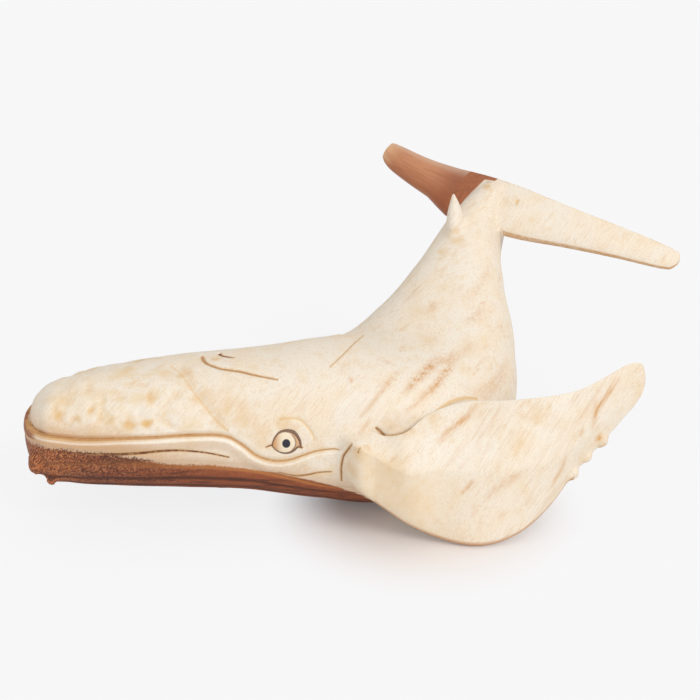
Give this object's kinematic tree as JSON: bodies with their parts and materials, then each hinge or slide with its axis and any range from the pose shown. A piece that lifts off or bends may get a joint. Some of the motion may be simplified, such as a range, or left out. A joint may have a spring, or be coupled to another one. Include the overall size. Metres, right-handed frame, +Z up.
{
  "type": "whale figurine",
  "caption": "Hand-carved wooden whale with a bent body, raised tail and spread fins that rests on a flat belly as a tabletop ornament.",
  "frame": {"origin": "centre of the flat sanded on the belly, on the surface the whale rests on", "axes": "+Z up, +X back along the head from the snout towards the tail, the whale's left side faces -Y"},
  "size_m": [0.556, 0.4177, 0.2057],
  "materials": {
    "pale_wood": "sanded, unvarnished pale sapwood with tan streaks",
    "pale_wood_fin": "sanded pale sapwood",
    "pale_wood_fluke": "sanded pale sapwood",
    "dark_wood_fluke": "sanded reddish brown heartwood",
    "dowel_wood": "plain turned dowel"
  },
  "bodies": {
    "root": {"body": "pale_wood", "left_pectoral_fin": "pale_wood_fin", "right_pectoral_fin": "pale_wood_fin", "left_fluke": "pale_wood_fluke", "right_fluke": "dark_wood_fluke", "left_pectoral_fin_front_dowel": "dowel_wood", "left_pectoral_fin_rear_dowel": "dowel_wood", "right_pectoral_fin_front_dowel": "dowel_wood", "right_pectoral_fin_rear_dowel": "dowel_wood", "left_fluke_front_dowel": "dowel_wood", "left_fluke_rear_dowel": "dowel_wood", "right_fluke_front_dowel": "dowel_wood", "right_fluke_rear_dowel": "dowel_wood"}
  },
  "joints": []
}
